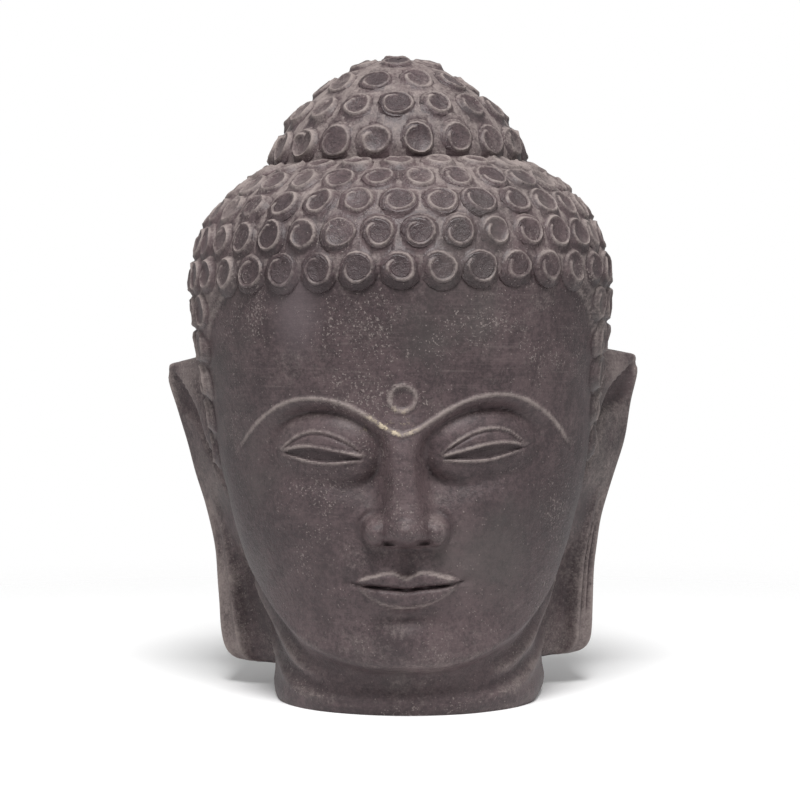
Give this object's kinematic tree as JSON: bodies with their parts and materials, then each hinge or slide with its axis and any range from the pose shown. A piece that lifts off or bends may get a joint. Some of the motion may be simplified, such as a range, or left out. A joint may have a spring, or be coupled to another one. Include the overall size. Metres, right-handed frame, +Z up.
{
  "type": "buddha head statue",
  "caption": "Cast cement buddha head with curled hair, crown bump and long ears, cut flat below the neck to stand on its own.",
  "frame": {"origin": "centre of the bounding box, on the flat underside of the neck", "axes": "+Z up through the crown, the face looks along -Y, +X towards the head's left ear"},
  "size_m": [0.3158, 0.2958, 0.4199],
  "materials": {
    "cement": null
  },
  "bodies": {
    "root": {"buddha_head": "cement"}
  },
  "joints": []
}
